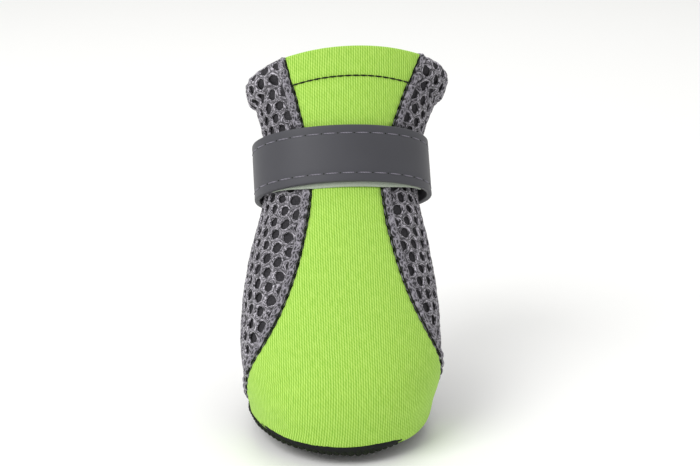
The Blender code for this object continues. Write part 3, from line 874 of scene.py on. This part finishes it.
# Front panel
# One piece of lime green neoprene, faced with ribbed jersey, from the toe to the collar. It is stretched
# smooth over the toe, dips softly where the strap and the seams pull it in, and is folded in at its top.
PANEL_FACE = 2.4 * MM
PANEL_THICKNESS = 1.2 * MM
PANEL_ROUNDING = 0.35 * MM
CLOTH_CORNER = math.radians(60)
PANEL_EDGE = -0.05 * MM
PANEL_EDGE_DIP = 0.5 * MM
PANEL_EDGE_WIDTH = 0.7 * MM
PANEL_PUCKER = 0.12 * MM
PANEL_PUCKER_WIDTH = 2 * MM
FRONT_HEM_DEPTH = 8 * MM
FRONT_HEM_RISE = 0.5 * MM
FRONT_HEM_RISES_OVER = 1.5 * MM
HEM_STITCH_DIP = 0.3 * MM
HEM_STITCH_DIP_WIDTH = 0.6 * MM
SAG_FADES = 3 * MM
SAG_BULGE = 0.9 * MM
SAG_FROM_SIDE = 4 * MM
PANEL_LIME = "#A3CF4B"
PANEL_PALE_AND_RIB_LIGHT = "#BDE46C"
PANEL_DEEP_AND_RIB_SHADE = "#83B936"
RIB_PITCH = 0.62
COURSE_PITCH = 1.0
SLUB_WIDTH = 0.4545
SLUB_LENGTH = 2.38
RIB_RELIEF = 0.12 * MM

# A soft crease: its place in shares of the half panel and of its height, its turn in degrees, its size in mm
Crease = namedtuple("Crease", "name across up turn length width depth")
CREASES = (
    Crease("instep left", -0.45, 0.60, 25, 9.0, 3.0, 0.45),
    Crease("instep right", 0.50, 0.57, -30, 8.0, 2.6, 0.40),
    Crease("under the strap", 0.05, 0.66, 2, 10.0, 2.5, 0.35),
    Crease("toe left", -0.62, 0.13, 48, 9.0, 3.2, 0.40),
    Crease("toe right", 0.66, 0.15, -50, 8.0, 3.0, 0.35),
)


def sag_at(angle):
    """How far the panel's end sags over the sole's edge: drawn up at the toe's tip, sagging towards +X."""
    degrees = np.degrees(angle)
    sag = -0.4 + 0.9 * ease((degrees - 5) / 35) + 0.5 * ease((degrees - 45) / 30)
    return (sag - 0.8 * np.exp(-((degrees - 1) / 13) ** 2)) * MM


panel, across, up = new_grid("front_panel_jersey", 84, 180)
edge_out = edge_at(1, up, PANEL_EDGE), edge_at(-1, up, PANEL_EDGE)
angle = edge_out[1] + (edge_out[0] - edge_out[1]) * across
side_length = round_at(up, angle)
up_length = up_at(up)
half_length = round_at(up, edge_out[0])
from_edge = np.minimum(half_length - side_length, side_length - round_at(up, edge_out[1]))
from_hem = up_length - (up_at(1.0) - FRONT_HEM_DEPTH)
puckered = 1 + np.sin(2 * math.pi * up_length / PUCKER_PITCH)
face = PANEL_FACE + FRONT_HEM_RISE * ease(from_hem / FRONT_HEM_RISES_OVER + 0.5)
face -= HEM_STITCH_DIP * np.exp(-(from_hem / HEM_STITCH_DIP_WIDTH) ** 2)
face -= PANEL_EDGE_DIP * np.exp(-(from_edge / PANEL_EDGE_WIDTH) ** 2)
face -= PANEL_PUCKER * np.exp(-(from_edge / PANEL_PUCKER_WIDTH) ** 2) * puckered
for crease in CREASES:
    turn = math.radians(crease.turn)
    x = (side_length - crease.across * np.maximum(half_length, 1 * MM)) / MM
    y = (up_length - crease.up * up_at(1.0)) / MM
    along = (x * math.cos(turn) + y * math.sin(turn)) / crease.length
    off = (y * math.cos(turn) - x * math.sin(turn)) / crease.width
    face -= crease.depth * MM * np.exp(-along**2 - off**2)
at_end = np.exp(-(up_length / SAG_FADES) ** 2) * ease(from_edge / SAG_FROM_SIDE)
places = off_last(up, angle, face + SAG_BULGE * at_end)
places[:, 2] -= sag_at(angle) * at_end
lay(panel, places, side_length, up_length)
apply_modifier(panel, "SOLIDIFY", thickness=PANEL_THICKNESS, offset=-1)
apply_modifier(
    panel, "BEVEL", width=PANEL_ROUNDING, segments=3, limit_method="ANGLE", angle_limit=CLOTH_CORNER,
)

# Ribbed jersey has fine upright ribs, painted light on their crests and with painted shade between. Slanting
# courses and slubs in the yarn break them up, and the brushed fibres keep it dull. The slubs are drawn
# coarser than real ones.
# An upright wave repeats at pi / 10 over its scale and a slanting one at pi / 5, on a map in millimetres
jersey = new_material("ribbed jersey on neoprene", Roughness=0.85, Sheen_Weight=0.04)
lengths = add_node(jersey, "UVMap", {}, uv_map="lengths").outputs["UV"]
ribs = add_node(jersey, "TexWave", {
    "Vector": lengths, "Scale": math.pi / 10 / RIB_PITCH,
    "Distortion": 1.2, "Detail": 2.0, "Detail Scale": 0.6,
}, bands_direction="X", wave_profile="SIN")
courses = add_node(jersey, "TexWave", {
    "Vector": lengths, "Scale": math.pi / 5 / COURSE_PITCH,
    "Distortion": 2.0, "Detail": 2.0, "Detail Scale": 0.8,
}, bands_direction="DIAGONAL", wave_profile="SIN")
stretched = add_node(jersey, "Mapping", {"Vector": lengths, "Scale": (1 / SLUB_WIDTH, 1 / SLUB_LENGTH, 1.0)})
slubs = add_node(jersey, "TexNoise", {
    "Vector": stretched.outputs["Vector"], "Scale": 1.0, "Detail": 3.0, "Roughness": 0.6,
})
knit = add_node(jersey, "MixRGB", {
    "Fac": 0.22, "Color1": ribs.outputs["Color"], "Color2": courses.outputs["Color"],
})
ribbed = add_node(jersey, "MixRGB", {
    "Fac": 0.5, "Color1": slubs.outputs["Fac"], "Color2": knit.outputs["Color"],
}).outputs["Color"]
# The deep end is both darker slubs and painted shade between the ribs, the pale end paler slubs and painted
# light
shade = add_node(jersey, "ValToRGB", {"Fac": ribbed}, feeds="Base Color")
shade.color_ramp.elements[0].position = 0.28
shade.color_ramp.elements[0].color = linear(PANEL_DEEP_AND_RIB_SHADE)
shade.color_ramp.elements[1].position = 0.72
shade.color_ramp.elements[1].color = linear(PANEL_PALE_AND_RIB_LIGHT)
shade.color_ramp.elements.new(0.5).color = linear(PANEL_LIME)
add_node(jersey, "Bump", {"Height": ribbed, "Distance": RIB_RELIEF, "Strength": 0.7}, feeds="Normal")
finish_piece(panel, jersey, "neoprene", "front_panel")

# Panel facing
# The top end of the panel's jersey, folded over the collar. It lies flat against the inside, as deep as the
# hem, and the hem's stitches hold it.
FACING_THICKNESS = 0.4 * MM
FACING_OUT = -0.25 * MM
FACING_RISE = 0.55 * MM
FACING_EDGE = -0.3 * MM
FACING_BELOW_FACE = 0.25 * MM

facing, across, along = new_grid("front_panel_facing", 84, 40)
fold_out = PANEL_FACE + FRONT_HEM_RISE - FACING_BELOW_FACE
fold_radius = (fold_out - FACING_OUT) / 2
over_top = math.pi * fold_radius
travelled = along * (over_top + FRONT_HEM_DEPTH)
roll = np.clip(travelled / fold_radius, 0, math.pi)
level = level_up(up_at(1.0) - np.maximum(travelled - over_top, 0))
ends = edge_at(-1, level, FACING_EDGE), edge_at(1, level, FACING_EDGE)
angle = ends[0] + (ends[1] - ends[0]) * across
places, outward = on_last(level, angle)
upward = way_up(places, on_last(level - A_LITTLE_LOWER, angle)[0])
places += outward * (FACING_OUT + fold_radius * (1 + np.cos(roll)))[:, None]
places += upward * (FACING_RISE * np.sin(roll))[:, None]
lay(facing, places, round_at(level, angle), travelled)
apply_modifier(facing, "SOLIDIFY", thickness=FACING_THICKNESS, offset=-1)
finish_piece(facing, jersey, "neoprene")

# Hem stitches
# One row of black polyester lockstitches across the panel holds its folded hem, and shows inside too. Grey
# overlocking binds the edge of the mesh that is turned in round the rest of the collar.
HEM_STITCH_PITCH = 2.1 * MM
HEM_STITCH_LENGTH = 2.4 * MM
HEM_STITCH_WIDTH = 0.5 * MM
HEM_STITCH_POINTS = 80
INSIDE_STITCHES_HIGHER = 1.2 * MM
OVERLOCK_POINTS = 900
OVERLOCK_BEAD_POINTS = 11
OVERLOCK_HALF_WIDTH = 0.75 * MM
OVERLOCK_HALF_HEIGHT = 0.3 * MM
OVERLOCK_IN = 0.25 * MM


def stitch_row(name, path, outward, pitch, length, width, start=0.5):
    """A row of equal beads along a path, one a stitch, joined as one piece. The first is start pitches in."""
    steps = np.linalg.norm(np.diff(path, axis=0), axis=1)
    lengths = np.concatenate([[0], np.cumsum(steps)])
    bpy.ops.object.select_all(action="DESELECT")
    bpy.ops.mesh.primitive_uv_sphere_add(segments=8, ring_count=6, radius=0.5)
    bead = bpy.context.object
    shape = corners(bead) * (length, width, width * 0.8)
    copies = []
    count = round(lengths[-1] / pitch)
    for k in range(count):
        along = (k + start) * lengths[-1] / count
        place, ahead, normal = (
            np.array([np.interp(at, lengths, values) for values in kind.T])
            for at, kind in ((along, path), (along + length / 4, path), (along, outward))
        )
        forward = (ahead - place) / np.linalg.norm(ahead - place)
        aside = np.cross(normal, forward)
        copy = bpy.data.objects.new(f"{name}_{k}", bead.data.copy())
        bpy.context.scene.collection.objects.link(copy)
        turned = shape @ np.array([forward, aside, np.cross(forward, aside)])
        copy.data.vertices.foreach_set("co", (turned + place).ravel())
        copies.append(copy)
    bpy.data.objects.remove(bead)
    bpy.ops.object.select_all(action="DESELECT")
    for copy in copies:
        copy.select_set(True)
    bpy.context.view_layer.objects.active = copies[0]
    bpy.ops.object.join()
    copies[0].name = name
    return copies[0]


hem_level = level_up(up_at(1.0) - FRONT_HEM_DEPTH)
inside_level = level_up(up_at(1.0) - FRONT_HEM_DEPTH + INSIDE_STITCHES_HIGHER)
hem_ends = edge_at(-1, np.array([hem_level]))[0], edge_at(1, np.array([hem_level]))[0]
hem_angles = np.linspace(*hem_ends, HEM_STITCH_POINTS)
for name, level, out in (
    ("hem_stitches", hem_level, PANEL_FACE + FRONT_HEM_RISE / 2 - HEM_STITCH_DIP + 0.1 * MM),
    ("hem_stitches_inside", inside_level, FACING_OUT - 0.05 * MM),
):
    places, outward = on_last(level, hem_angles)
    stitches = stitch_row(
        name, places + outward * out, outward, HEM_STITCH_PITCH, HEM_STITCH_LENGTH, HEM_STITCH_WIDTH,
    )
    finish_piece(stitches, black_thread, "neoprene")

turn = np.linspace(hem_ends[1], 2 * math.pi + hem_ends[0], OVERLOCK_POINTS)
level = level_up(up_at(1.0, FLANK_TURN) - ROLLS_BELOW_TOP - NET_TURNED_IN, FLANK_TURN)
places, outward = on_last(level, turn)
beads = abs(np.sin(np.arange(OVERLOCK_POINTS) * math.pi / OVERLOCK_BEAD_POINTS)) ** 0.5
wide = OVERLOCK_HALF_WIDTH * (0.7 + 0.3 * beads)
places = places - outward * OVERLOCK_IN
overlock = strand("mesh_overlock", places, outward, wide, OVERLOCK_HALF_HEIGHT, sides=8)
finish_piece(overlock, grey_thread, "air_mesh")

# Strap
# A band of grey reflective tape on webbing round the leg, pressed in along its two rows of stitching. Its end
# laps over its start behind the leg, on hook and loop.
STRAP_GREY = "#3F3F44"
STRAP_PALE = "#49494F"
STRAP_THICKNESS = 1.4 * MM
STRAP_ROUNDING = 0.3 * MM
STRAP_REACH = 60 * MM
STRAP_TURNS = 97
STRAP_EDGE_WITHIN = 12 * MM
STRAP_CUTS = 23
CROSS_EDGE_LEAST = 3 * MM
STITCH_LINE = 2.4 * MM
STITCH_TROUGH = 0.16 * MM
STITCH_TROUGH_WIDTH = 0.5 * MM
GLASS_BEAD = 0.455 * MM
TAPE_RELIEF = 0.04 * MM
WORN_PATCH = 16.7 * MM

strap = merged_copy("strap", "reflective_strap")
strap_tree = ray_tree(strap)
strap_turns = np.linspace(-math.pi, math.pi, STRAP_TURNS)
leg_front = Vector((1, 0, 0)).cross(leg_axis)


def from_leg(turn):
    """The way out from the leg, square to it, at an angle from its front towards +X."""
    return Vector((1, 0, 0)) * math.sin(turn) + leg_front * math.cos(turn)


def strap_ray(turn, height):
    """Where a ray at the leg meets the strap's outer face, at a height from the leg's middle point."""
    start = leg_middle + leg_axis * height + from_leg(turn) * STRAP_REACH
    return strap_tree.ray_cast(start, -from_leg(turn), STRAP_REACH)[0]


strap_edges = {
    side: [furthest(lambda height: strap_ray(turn, height), side * STRAP_EDGE_WITHIN) for turn in strap_turns]
    for side in (-1, 1)
}
edit(strap, ("select_mode", {"type": "EDGE"}), ("select_all", {"action": "DESELECT"}))
for edge in strap.data.edges:
    start, end = (strap.data.vertices[k].co for k in edge.vertices)
    runs_across = abs((end - start).normalized().dot(leg_axis)) > 0.9
    edge.select = (end - start).length > CROSS_EDGE_LEAST and runs_across
bpy.ops.object.mode_set(mode="EDIT")
bpy.ops.mesh.subdivide(number_cuts=STRAP_CUTS)
bpy.ops.object.mode_set(mode="OBJECT")
places = corners(strap)
for k, vertex in enumerate(strap.data.vertices):
    height = (vertex.co - leg_middle).dot(leg_axis)
    way = vertex.co - leg_middle - leg_axis * height
    turn = math.atan2(way.x, way.dot(leg_front))
    inset = min(side * (np.interp(turn, strap_turns, strap_edges[side]) - height) for side in (-1, 1))
    if vertex.normal.dot(way) > 0:
        dip = STITCH_TROUGH * math.exp(-((inset - STITCH_LINE) / STITCH_TROUGH_WIDTH) ** 2)
        places[k] -= np.array(way.normalized()) * dip
strap.data.vertices.foreach_set("co", places.ravel())
apply_modifier(
    strap, "BEVEL", width=STRAP_ROUNDING, segments=2, limit_method="ANGLE", angle_limit=CLOTH_CORNER,
)
apply_modifier(strap, "SUBSURF", levels=1, render_levels=1)

# Reflective tape is a grey resin full of tiny glass beads. In soft light it is satin, with a fine grain and
# faint worn patches. The beads are drawn many times as large as real ones, which are too fine to show
tape = new_material("grey reflective tape", Roughness=0.55, Specular_IOR_Level=0.35, Sheen_Weight=0.1)
place = add_node(tape, "TexCoord", {}).outputs["Object"]
beads = add_node(tape, "TexNoise", {"Vector": place, "Scale": 1 / GLASS_BEAD, "Detail": 2.0}).outputs["Fac"]
wear = add_node(tape, "TexNoise", {"Vector": place, "Scale": 1 / WORN_PATCH, "Detail": 3.0}).outputs["Fac"]
add_node(
    tape, "MixRGB", {"Fac": wear, "Color1": linear(STRAP_GREY), "Color2": linear(STRAP_PALE)},
    feeds="Base Color",
)
add_node(tape, "Bump", {"Height": beads, "Distance": TAPE_RELIEF, "Strength": 0.35}, feeds="Normal")
finish_piece(strap, tape, "strap_tape", "strap")

# Strap stitches
# Grey polyester thread runs along both edges of the strap in long lockstitches, and across its end behind the
# leg. Between every two stitches a small bead of black thread, sunk in the tape, is painted shade for the
# needle's hole.
STRAP_STITCH_PITCH = 4.5 * MM
STRAP_STITCH_LENGTH = 3.7 * MM
STRAP_STITCH_WIDTH = 0.34 * MM
STRAP_STITCH_OUT = 0.06 * MM
NEEDLE_HOLE = 0.55 * MM
NEEDLE_HOLE_IN = 0.1 * MM
ROUND_STRAP_POINTS = 240
END_STITCH_TURN = math.radians(-153)
END_STITCH_OUT = 0.05 * MM
END_STITCH_POINTS = 30


def round_strap(side, inset, turns):
    """Points on the strap's outer face, this far in from its lower or upper edge, and the ways out there."""
    heights = np.interp(turns, strap_turns, strap_edges[side]) - side * inset
    places = [strap_ray(turn, height) for turn, height in zip(turns, heights)]
    return np.array(places, dtype=float), np.array([from_leg(turn) for turn in turns])


for name, side in (("lower", -1), ("upper", 1)):
    places, outward = round_strap(side, STITCH_LINE, np.linspace(-math.pi, math.pi, ROUND_STRAP_POINTS))
    row = stitch_row(
        f"strap_stitches_{name}", places + outward * (STRAP_STITCH_OUT - STITCH_TROUGH), outward,
        STRAP_STITCH_PITCH, STRAP_STITCH_LENGTH, STRAP_STITCH_WIDTH,
    )
    finish_piece(row, grey_thread, "strap_tape")
    # Black beads sunk in the tape between the stitches: painted shade standing for the needle's holes
    hole_shades = stitch_row(
        f"needle_holes_{name}", places - outward * (NEEDLE_HOLE_IN + STITCH_TROUGH), outward,
        STRAP_STITCH_PITCH, NEEDLE_HOLE, NEEDLE_HOLE, start=0,
    )
    finish_piece(hole_shades, black_thread, "strap_tape")

heights = np.linspace(strap_edges[-1][0] + STITCH_LINE, strap_edges[1][0] - STITCH_LINE, END_STITCH_POINTS)
places = np.array([strap_ray(END_STITCH_TURN, height) for height in heights])
outward = np.tile(np.array(from_leg(END_STITCH_TURN)), (END_STITCH_POINTS, 1))
row = stitch_row(
    "strap_stitches_end", places + outward * END_STITCH_OUT, outward,
    STRAP_STITCH_PITCH, STRAP_STITCH_LENGTH, STRAP_STITCH_WIDTH,
)
finish_piece(row, grey_thread, "strap_tape")

# Strap lining
# A thin, pale knit, greyish mint, sewn to the strap's inner face. Its edge stands a little below the strap in
# front and tapers away at both sides.
LINING_SHOWS = 1.2 * MM
LINING_BELOW_EDGE = 0.4 * MM
LINING_ABOVE_EDGE = 3 * MM
LINING_THICKNESS = 0.4 * MM
LINING_HALF_TURN = math.radians(62)
LINING_STEPS = 72
LINING_PALE = "#BAC4B3"
LINING_DEEP = "#8C9686"
LINING_LOOP = 0.417
LINING_RELIEF = 0.1 * MM

lining, across, up = new_grid("strap_lining", LINING_STEPS, 8)
lining_turns = np.linspace(-LINING_HALF_TURN, LINING_HALF_TURN, LINING_STEPS + 1)
face, outward = round_strap(-1, LINING_BELOW_EDGE, lining_turns)
index = np.round(across * LINING_STEPS).astype(int)
taper = 1 - ease((abs(across - 0.5) * 2 - 0.35) / 0.65)
height = (-LINING_BELOW_EDGE - LINING_SHOWS * taper) * (1 - up) + LINING_ABOVE_EDGE * up
places = face[index] - outward[index] * STRAP_THICKNESS + np.array(leg_axis) * height[:, None]
lay(lining, places, across * 60 * MM, up * 5 * MM)
apply_modifier(lining, "SOLIDIFY", thickness=LINING_THICKNESS, offset=-1)

# A brushed knit is soft and quite dull, and its small loops show as pale dots
mint_knit = new_material("pale mint knit", Roughness=0.9, Sheen_Weight=0.2)
lengths = add_node(mint_knit, "UVMap", {}, uv_map="lengths").outputs["UV"]
loops = add_node(
    mint_knit, "TexVoronoi", {"Vector": lengths, "Scale": 1 / LINING_LOOP, "Randomness": 0.4},
).outputs["Distance"]
add_node(
    mint_knit, "MixRGB", {"Fac": loops, "Color1": linear(LINING_PALE), "Color2": linear(LINING_DEEP)},
    feeds="Base Color",
)
add_node(mint_knit, "Bump", {"Height": loops, "Distance": LINING_RELIEF}, feeds="Normal", invert=True)
finish_piece(lining, mint_knit, "strap_tape")

# Outsole
# Moulded black rubber with cross grooves and lugs underneath. Its edge is curled up round the foot, where the
# upper is sewn to it.
RUBBER_BLACK = "#0E1010"
RUBBER_DUSTY = "#1B1D1C"
RUBBER_GRAIN = 0.667 * MM
GRAIN_RELIEF = 0.08 * MM
DUST_PATCH = 8.33 * MM

outsole = merged_copy("outsole", "rubber_sole")
apply_modifier(outsole, "REMESH", mode="VOXEL", voxel_size=0.42 * MM)
apply_modifier(outsole, "SMOOTH", factor=0.5, iterations=3)

# Moulded rubber is nearly matt, with patches of grey dust and a fine grain, drawn coarser than a real one
rubber = new_material("moulded black rubber", Roughness=0.75, Specular_IOR_Level=0.25)
place = add_node(rubber, "TexCoord", {}).outputs["Object"]
grain = add_node(
    rubber, "TexNoise", {"Vector": place, "Scale": 1 / RUBBER_GRAIN, "Detail": 2.0},
).outputs["Fac"]
dust = add_node(rubber, "TexNoise", {"Vector": place, "Scale": 1 / DUST_PATCH, "Detail": 5.0}).outputs["Fac"]
add_node(
    rubber, "MixRGB", {"Fac": dust, "Color1": linear(RUBBER_BLACK), "Color2": linear(RUBBER_DUSTY)},
    feeds="Base Color",
)
add_node(rubber, "Bump", {"Height": grain, "Distance": GRAIN_RELIEF, "Strength": 0.5}, feeds="Normal")
finish_piece(outsole, rubber, "sole_rubber", "outsole")

# Sole seam
# Thick whipping of black polyester thread joins the sole's edge to the upper, and is the sole's bumpy rim. It
# swells at the toe, thins along the flanks, and is tucked under the panel's sagging end towards +X.
RIM_RADIUS = 0.95 * MM
RIM_OUT = 2.4 * MM
RIM_DROP = 1.3 * MM
RIM_TUCK = 0.55 * MM
RIM_BUMP_PITCH = 1.7 * MM
RIM_POINTS = 1200

turn = np.linspace(-math.pi, math.pi, RIM_POINTS)
degrees = np.degrees(turn)
places, outward = on_last(0.0, turn)
outward[:, 2] = 0
outward /= np.linalg.norm(outward, axis=1, keepdims=True)
length = np.cumsum(np.linalg.norm(np.gradient(places, axis=0), axis=1))
bumps = abs(np.sin(math.pi * length / RIM_BUMP_PITCH)) ** 0.6
toe_swell = 1 + 0.25 * np.exp(-((degrees - 2) / 20) ** 2)
left_thins = ease((degrees - 20) / 30) - ease((degrees - 130) / 40)
flank = 1 - 0.3 * ease((abs(degrees) - 60) / 30) - 0.2 * left_thins
worn = 1 + 0.12 * np.sin(length / (2.3 * MM)) * np.sin(length / (5.1 * MM) + 1)
thick = RIM_RADIUS * (0.62 + 0.48 * bumps) * worn * flank
tucked = ease((degrees - 10) / 15) - ease((degrees - 95) / 20)
places = places + outward * (RIM_OUT - RIM_TUCK * tucked)[:, None] - np.array((0, 0, RIM_DROP))
whipping = strand("sole_whipping", places, outward, thick * toe_swell, thick, sides=10)
finish_piece(whipping, black_thread, "sole_rubber")

# Insole
# A thin pad of dark needled felt, cut to the foot's outline. It lies inside on the sole, and shows only
# through the collar.
FELT_DARK = "#232325"
FELT_LIGHT = "#37373A"
FELT_FIBRE = 0.5555 * MM
FELT_RELIEF = 0.2 * MM

insole = merged_copy("insole", "felt_insole")
apply_modifier(insole, "SUBSURF", levels=2, render_levels=2)

# Felt is quite dull. Its short crossed fibres show as a soft grain, which is drawn coarser than a real one
felt = new_material("needled felt", Roughness=0.95, Sheen_Weight=0.3)
place = add_node(felt, "TexCoord", {}).outputs["Object"]
fibres = add_node(felt, "TexNoise", {
    "Vector": place, "Scale": 1 / FELT_FIBRE, "Detail": 4.0, "Distortion": 1.5,
}).outputs["Fac"]
add_node(
    felt, "MixRGB", {"Fac": fibres, "Color1": linear(FELT_DARK), "Color2": linear(FELT_LIGHT)},
    feeds="Base Color",
)
add_node(felt, "Bump", {"Height": fibres, "Distance": FELT_RELIEF}, feeds="Normal")
finish_piece(insole, felt, "insole_cloth", "insole")
